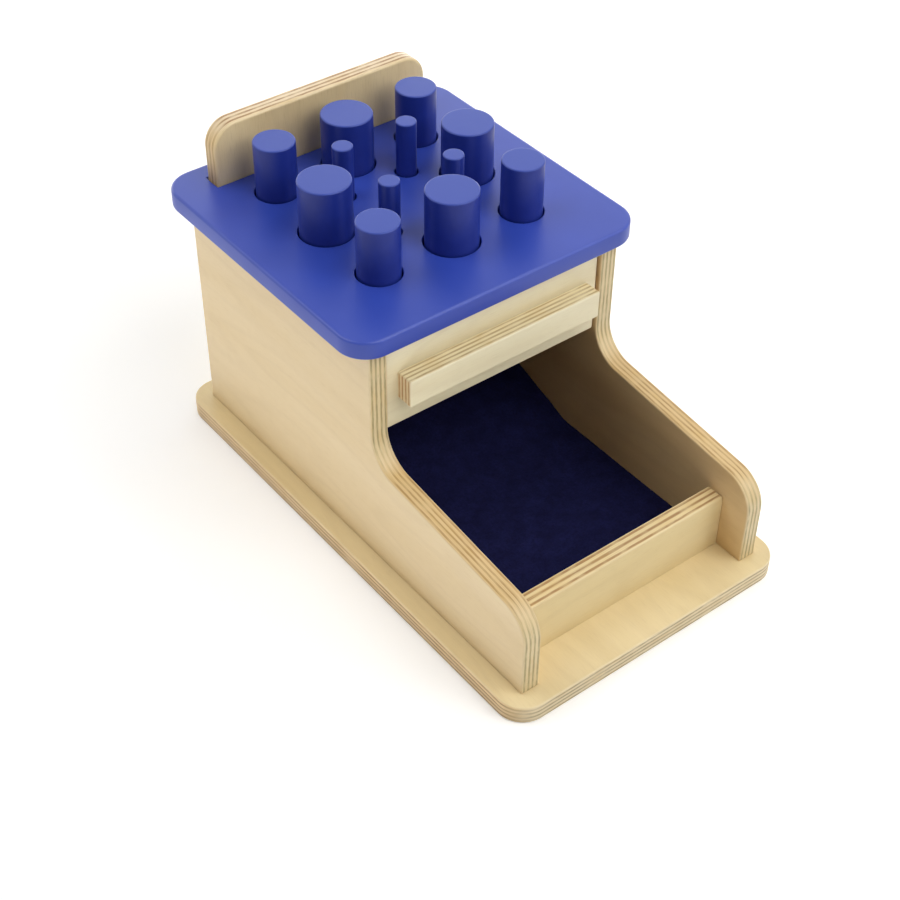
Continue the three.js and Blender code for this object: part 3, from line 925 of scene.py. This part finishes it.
@dataclass
class Cabinet(SubAssembly):
    """The box that stands still: base, sides, back, rail, top, ramp, runners and fasteners."""

    base_corner: float = 17.3 * MM
    top_corner: float = 19 * MM
    top_edge: float = 1.7 * MM
    top_front_overhang: float = 7.8 * MM
    tray_side_height: float = 56.6 * MM
    tray_side_slope: float = math.radians(6.4)
    side_profile_radius: float = 21.7 * MM
    tab_half: float = 76.7 * MM
    tab_corner: float = 15.6 * MM
    tab_edge: float = 1.6 * MM
    back_plies: float = 7
    rail_plies: float = 6.2
    slot_clearance: float = 0.8 * MM
    hole_clearance: float = 0.9 * MM
    hole_edge: float = 0.6 * MM
    screw_mouth: float = 4.3 * MM
    screw_recess: float = 0.8 * MM
    screw_bore: float = 2.3 * MM
    screw_cover: float = 1 * MM

    def build(self) -> None:
        """Builds and dresses every piece of the cabinet."""
        self.base()
        self.side("left", LEFT_BIRCH, 0.0)
        self.side("right", RIGHT_BIRCH_PAINTED_BOUNCE, 0.6)
        self.back()
        self.rail()
        self.top()
        self.battens()
        self.fasteners()

    def base(self) -> None:
        """Builds the base plate, with a countersunk pit under it for each screw's head."""
        low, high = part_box("base_plate")
        cone = self.screw_mouth - self.screw_bore
        end = high.z - low.z - self.screw_cover
        steps = [(0, 0), (0, self.screw_recess), (cone, self.screw_recess + cone), (cone, end)]
        pits = []
        for name in self.names("base_screw_"):
            centre = sum(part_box(name), Vector()) / 2
            pits.append(Loop.circle(centre.xy, self.screw_mouth, 0).reversed().pit(steps))
        outline = Loop.rectangle(low.xy, high.xy, self.base_corner, EDGE_ROUND)
        board = Board(
            "base_plate", outline, Facing.UP, pits=pits, grain=Grain.CROSSWISE, figure=(0.3, 0.1)
        )
        self.finish_board(board, BASE_BIRCH)

    def side(self, hand: str, finish: Finish, log: float) -> None:
        """Builds a side panel: tall at the rear, then down a rounded step to the tray's low sloping side.

        Args:
            hand: Left or right.
            finish: Its finish.
            log: How far along the log its veneer comes from.
        """
        name = f"{hand}_side"
        low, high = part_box(name)
        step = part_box("top_board")[0].y + self.top_front_overhang
        tray = low.z + self.tray_side_height
        foot = tray + (step - low.y) * math.tan(self.tray_side_slope)
        outline = Loop.of_corners([
            glued(low.y, low.z),
            glued(high.y, low.z),
            (high.y, low.z + JOINT_REACH, 0, EDGE_ROUND),
            (high.y, high.z - JOINT_REACH, 0, EDGE_ROUND),
            glued(high.y, high.z),
            glued(step, high.z),
            (step, high.z - JOINT_REACH, 0, EDGE_ROUND),
            (step, foot, self.side_profile_radius, EDGE_ROUND),
            (low.y, tray, self.side_profile_radius, EDGE_ROUND),
            (low.y, low.z + JOINT_REACH, 0, EDGE_ROUND),
        ])
        self.finish_board(Board(name, outline, Facing.SIDE, figure=(log, 0.4 + log)), finish)

    def back(self) -> None:
        """Builds the back panel, whose tab comes up through the slot in the top board."""
        low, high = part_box("back_panel")
        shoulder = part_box("left_side")[1].z
        half, clear = self.tab_half, shoulder + 2 * JOINT_REACH
        outline = Loop.of_corners([
            glued(low.x, low.z),
            glued(high.x, low.z),
            glued(high.x, shoulder),
            (half, shoulder, 0, JOINT_ROUND),
            (half, clear, 0, self.tab_edge),
            (half, high.z, self.tab_corner, self.tab_edge),
            (-half, high.z, self.tab_corner, self.tab_edge),
            (-half, clear, 0, self.tab_edge),
            (-half, shoulder, 0, JOINT_ROUND),
            glued(low.x, shoulder),
        ])
        board = Board(
            "back_panel",
            outline,
            Facing.FRONT,
            plies=self.back_plies,
            grain=Grain.CROSSWISE,
            figure=(1.7, 2.0),
        )
        self.finish_board(board, BACK_BIRCH_PAINTED_LIGHT)

    def rail(self) -> None:
        """Builds the rail across the front of the tray."""
        low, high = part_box("front_rail")
        outline = Loop.of_corners([
            glued(low.x, low.z),
            glued(high.x, low.z),
            (high.x, high.z - JOINT_REACH, 0, JOINT_ROUND),
            (high.x, high.z, EDGE_CORNER, EDGE_ROUND),
            (low.x, high.z, EDGE_CORNER, EDGE_ROUND),
            (low.x, high.z - JOINT_REACH, 0, JOINT_ROUND),
        ])
        board = Board("front_rail", outline, Facing.FRONT, plies=self.rail_plies, figure=(3.1, 0.9))
        self.finish_board(board, RAIL_BIRCH)

    def top(self) -> None:
        """Builds the top board, with a hole for each peg and the slot for the back panel's tab."""
        low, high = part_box("top_board")
        holes = []
        for name in self.names("peg_"):
            peg_low, peg_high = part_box(name)
            centre = (peg_low + peg_high) / 2
            radius = (peg_high.x - peg_low.x) / 2 + self.hole_clearance
            holes.append(Loop.circle(centre.xy, radius, self.hole_edge).reversed())
        back_low, back_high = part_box("back_panel")
        room = self.slot_clearance
        slot = Loop.rectangle(
            (-self.tab_half - room, back_low.y - room),
            (self.tab_half + room, back_high.y + room),
            JOINT_CORNER,
            JOINT_ROUND,
        )
        outline = Loop.rectangle(low.xy, high.xy, self.top_corner, self.top_edge)
        board = Board("top_board", outline, Facing.UP, holes=[*holes, slot.reversed()], plies=1)
        self.finish_board(board, TOP_LACQUER)

    def battens(self) -> None:
        """Builds the runners and keepers that the shelf slides between, and dresses the ramp and cleat."""
        for name in ("left_runner", "right_runner", "left_keeper", "right_keeper"):
            low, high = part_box(name)
            section = Loop.rectangle(low.xz, high.xz, EDGE_CORNER, EDGE_ROUND / 2)
            self.finish_board(Board(name, section, Facing.FRONT, plies=1), BEECH_LENGTHWISE)
        self.dress_node("ramp_board", BEECH_LENGTHWISE)
        self.dress_node("ramp_cleat", BEECH_ACROSS)

    def fasteners(self) -> None:
        """Dresses the screws, dowels and pins, which stay as the CAD has them."""
        for name in self.names("base_screw_") + self.names("drawer_screw_"):
            self.dress_node(name, STEEL)
        for name in self.names("top_dowel_") + ["left_stop_pin", "right_stop_pin"]:
            self.dress_node(name, BEECH_UPRIGHT)
        for name in self.names("handle_dowel_"):
            self.dress_node(name, BEECH_LENGTHWISE)


@dataclass
class Drawer(SubAssembly):
    """The part that pulls out: the front with its handle, and the shelf that the pegs stand on."""

    handle_corner: float = 1.0 * MM
    handle_edge: float = 0.8 * MM
    shelf_plies: float = 6.2
    groove_depth: float = 4.5 * MM
    groove_room: float = 0.3 * MM

    def build(self) -> None:
        """Builds and dresses every piece of the drawer. The handle's rear face is glued to the front."""
        for name, corner, edge, rear_limit, figure in (
            ("drawer_front", EDGE_CORNER, EDGE_ROUND, EDGE_ROUND, (4.2, 1.1)),
            ("drawer_handle", self.handle_corner, self.handle_edge, JOINT_ROUND, (5.0, 1.4)),
        ):
            low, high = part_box(name)
            outline = Loop.rectangle(low.xz, high.xz, corner, edge)
            board = Board(name, outline, Facing.FRONT, figure=figure, lower_limit=rear_limit)
            self.finish_board(board, DRAWER_BIRCH_PALE_AND_PAINTED_LIGHT)
        self.shelf()

    def shelf(self) -> None:
        """Builds the shelf, with a stopped groove under each side for its stop pin."""
        low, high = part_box("drawer_shelf")
        joints = {joint["name"]: joint for joint in self.packed["joints"]}
        travel = joints["drawer_slide"]["range_m"][1]
        room = self.groove_room
        pits = []
        for hand in ("left", "right"):
            pin_low, pin_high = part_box(f"{hand}_stop_pin")
            groove = Loop.rectangle(
                (pin_low.x - room, pin_low.y - room),
                (pin_high.x + room, pin_high.y + travel + room),
                JOINT_CORNER,
                0,
            )
            pits.append(groove.reversed().pit([(0, 0), (0, self.groove_depth)]))
        outline = Loop.rectangle(low.xy, high.xy, EDGE_CORNER, EDGE_ROUND / 2)
        board = Board(
            "drawer_shelf", outline, Facing.UP, pits=pits, plies=self.shelf_plies, figure=(6.3, 2.2)
        )
        self.finish_board(board, DRAWER_BIRCH_PALE_AND_PAINTED_LIGHT)


@dataclass
class PegSet(SubAssembly):
    """The twelve turned pegs, in three sizes."""

    edge: dict[Size, float] = field(
        default_factory=lambda: {Size.LARGE: 1.0 * MM, Size.MEDIUM: 0.9 * MM, Size.SMALL: 0.8 * MM}
    )

    def build(self) -> None:
        """Builds each peg as a circle that is carried up its length, with both its ends rounded."""
        for name in self.names("peg_"):
            size = Size(name.split("_")[1])
            low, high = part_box(name)
            centre = (low + high) / 2
            outline = Loop.circle(centre.xy, (high.x - low.x) / 2, self.edge[size])
            self.finish_board(Board(name, outline, Facing.UP, plies=1), PEG_LACQUER_PAINTED_SHADE)


@dataclass
class FeltLining(SubAssembly):
    """One sheet of felt on the tray floor, which turns up on to the ramp at the rear."""

    thickness: float = 1 * MM
    bend_radius: float = 19 * MM
    ripple: float = 0.2 * MM
    spacing: float = 1.3 * MM
    bulge: float = 0.5 * MM
    bulge_width: float = 12 * MM

    def build(self) -> None:
        """Builds the sheet.

        Its upper side follows a path: flat, round an arc, then straight up the ramp. At a distance s along
        the path and t across it, the felt lies off the path by three crossing sine ripples and by one low
        swell behind the bend, where the sheet doesn't quite follow the corner.
        """
        low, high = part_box("felt_lining")
        ramp_low, ramp_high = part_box("ramp_board")
        slope = math.atan2(ramp_high.z - ramp_low.z, ramp_high.y - ramp_low.y)
        over = low.z + self.thickness
        bend = ramp_low.y - (over - ramp_low.z) * math.tan(slope / 2)
        flat = bend - low.y
        rise = (high.y - bend) / math.cos(slope)
        tangent = self.bend_radius * math.tan(slope / 2)
        arc = self.bend_radius * slope
        length = flat + rise - 2 * tangent + arc
        along = np.linspace(0, length, round(length / self.spacing) + 1)
        across = np.linspace(low.x, high.x, round((high.x - low.x) / self.spacing) + 1)
        turn = flat - tangent
        angle = np.clip((along - turn) / self.bend_radius, 0, slope)
        past = np.maximum(along - turn - arc, 0) * math.cos(slope)
        y = low.y + np.minimum(along, turn) + self.bend_radius * np.sin(angle) + past
        z = over + self.bend_radius * (1 - np.cos(angle)) + past * math.tan(slope)

        # Ripples: two that bend each other's way and one aslant, each as long as 2 pi times its divisor
        s, t = np.meshgrid(along, across, indexing="ij")
        ripples = (
            np.sin(s / (17 * MM) + 1.3 * np.sin(t / (41 * MM)))
            + np.sin(t / (23 * MM) + 0.8 * np.sin(s / (57 * MM) + 2.0))
            + 0.6 * np.sin((s + 1.7 * t) / (11 * MM))
        ) / 3
        swell = self.bulge * np.exp(-(((s - flat - 1.3 * self.bulge_width) / self.bulge_width) ** 2))
        off = self.ripple * (1 + ripples) + swell
        points = np.stack([
            t,
            y[:, None] - off * np.sin(angle)[:, None],
            z[:, None] + off * np.cos(angle)[:, None],
        ], axis=-1)
        numbers = np.arange(s.size).reshape(s.shape)
        faces = np.stack([numbers[:-1, :-1], numbers[:-1, 1:], numbers[1:, 1:], numbers[1:, :-1]], axis=-1)
        mesh = bpy.data.meshes.new("felt_lining")
        mesh.from_pydata(points.reshape(-1, 3).tolist(), [], faces.reshape(-1, 4).tolist())
        mesh.shade_smooth()
        felt = self.finish_piece("felt_lining", mesh, FELT)
        wall = felt.modifiers.new("thickness", "SOLIDIFY")
        wall.thickness = self.thickness
        wall.offset = -1


@dataclass(frozen=True)
class Lamp:
    """A soft rectangular lamp: its centre, the point that it faces, its width and height, and its watts.

    Glossy surfaces show it only if it is mirrored.
    """

    name: str
    place: Triple
    aim: Triple
    size: tuple[float, float]
    power: float
    mirrored: bool = True


@dataclass
class Studio:
    """The white floor, the soft light and the camera."""

    lamps: tuple[Lamp, ...] = (
        Lamp("left_rear", (-0.61, 0.52, 1.13), (0, 0, 0.09), (0.95, 0.95), 7.12),
        Lamp("front_high", (0.17, -0.78, 1.21), (0, 0, 0.09), (0.95, 0.95), 9.75),
        Lamp("right", (0.78, 0, 1.13), (0, 0, 0.09), (0.95, 0.95), 3.75),
        Lamp("front_right", (0.78, -0.95, 0.69), (0, 0, 0.09), (0.78, 0.69), 3.9),
        Lamp("backdrop", (0.52, 1.3, 0.39), (0, 0, 0.17), (2.6, 0.78), 15.0),
        Lamp("table_left", (-0.69, 0, 0.001), (-0.69, 0, 0.87), (1.13, 1.73), 5.62, mirrored=False),
    )
    camera_place: Triple = (-0.4839, -0.59693, 0.71918)
    camera_aim: Triple = (-0.05066, -0.04528, 0.08802)
    camera_roll: float = math.radians(0.639)
    camera_lens_mm: float = 66.35
    camera_nearest: float = 10 * MM
    floor_half: float = 6.0
    floor_drop: float = 0.2 * MM
    floor_colour: str = "#F8F8F7"
    floor_roughness: float = 0.9
    floor_glow: float = 0.22
    glow_start: float = 0.45
    glow_full: float = 1.6
    room_light: float = 0.03

    def build(self) -> None:
        """Builds the floor, the light and the camera, and sets plain colours."""
        bpy.context.scene.view_settings.view_transform = "Standard"
        self.floor()
        self.light()
        self.camera()

    def _seen(self, tree: NodeTree) -> Node:
        """Tells what the camera sees from the light on other things.

        Args:
            tree: The node tree.

        Returns:
            1 for what the camera sees, straight, in a gloss or through glass, and 0 for other light.
        """
        path = add(tree, "LightPath").outputs
        gloss = add(tree, "Math", {
            0: path["Is Glossy Ray"], 1: path["Is Transmission Ray"],
        }, operation="MAXIMUM")
        return add(tree, "Math", {0: path["Is Camera Ray"], 1: gloss}, operation="MAXIMUM")

    def floor(self) -> None:
        """Lays a pale floor that keeps the box's shadow, and glows white to the camera where no lamp reaches.

        The glow adds to the light on the floor. It grows with the distance from the middle.
        """
        half, level = self.floor_half, -self.floor_drop
        mesh = bpy.data.meshes.new("floor")
        corners = [(x * half, y * half, level) for x, y in ((-1, -1), (1, -1), (1, 1), (-1, 1))]
        mesh.from_pydata(corners, [], [(0, 1, 2, 3)])
        floor = bpy.data.objects.new("floor", mesh)
        bpy.context.scene.collection.objects.link(floor)
        material = bpy.data.materials.new("studio_floor")
        material.use_nodes = True
        tree = material.node_tree
        shader = tree.nodes["Principled BSDF"]
        connect(tree, shader, {"Base Color": self.floor_colour, "Roughness": self.floor_roughness})
        place = add(tree, "TexCoord").outputs["Object"]
        away = add(tree, "VectorMath", {0: place}, operation="LENGTH").outputs["Value"]
        rise = add(tree, "MapRange", {
            "Value": away,
            "From Min": self.glow_start,
            "From Max": self.glow_full,
            "To Min": self.floor_glow,
        })
        strength = add(tree, "Math", {0: self._seen(tree), 1: rise}, operation="MULTIPLY")
        glow = add(tree, "Emission", {"Color": WHITE, "Strength": strength})
        lit = add(tree, "AddShader", {0: shader, 1: glow})
        connect(tree, tree.nodes["Material Output"], {"Surface": lit})
        mesh.materials.append(material)

    def light(self) -> None:
        """Hangs the lamps, and makes the room white to the camera and dim as a light."""
        for lamp in self.lamps:
            light = bpy.data.lights.new(lamp.name, "AREA")
            light.shape = "RECTANGLE"
            light.size, light.size_y = lamp.size
            light.energy = lamp.power
            ahead = Vector(lamp.aim) - Vector(lamp.place)
            hung = bpy.data.objects.new(lamp.name, light)
            hung.location = lamp.place
            hung.rotation_euler = ahead.to_track_quat("-Z", "Y").to_euler()
            hung.visible_camera = False
            hung.visible_glossy = lamp.mirrored
            bpy.context.scene.collection.objects.link(hung)
        world = bpy.data.worlds.new("studio")
        world.use_nodes = True
        tree = world.node_tree
        strength = add(tree, "MapRange", {"Value": self._seen(tree), "To Min": self.room_light})
        connect(tree, tree.nodes["Background"], {"Color": WHITE, "Strength": strength})
        bpy.context.scene.world = world

    def camera(self) -> None:
        """Sets the camera by its place, the point that it aims at and its roll."""
        ahead = (Vector(self.camera_aim) - Vector(self.camera_place)).normalized()
        level = ahead.cross(Vector((0, 0, 1))).normalized()
        upright = level.cross(ahead)
        cos, sin = math.cos(self.camera_roll), math.sin(self.camera_roll)
        right = level * cos + upright * sin
        up = upright * cos - level * sin
        turn = Matrix((right, up, -ahead)).transposed().to_4x4()
        lens = bpy.data.cameras.new("camera")
        lens.lens = self.camera_lens_mm
        lens.clip_start = self.camera_nearest
        camera = bpy.data.objects.new("camera", lens)
        camera.matrix_world = Matrix.Translation(self.camera_place) @ turn
        bpy.context.scene.collection.objects.link(camera)
        bpy.context.scene.camera = camera


def main() -> None:
    """Builds each sub-assembly in order."""
    logging.basicConfig(level=logging.INFO, format="%(message)s")
    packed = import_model()
    for part in (Cabinet(packed), Drawer(packed), PegSet(packed), FeltLining(packed), Studio()):
        part.build()


if __name__ == "__main__":
    main()
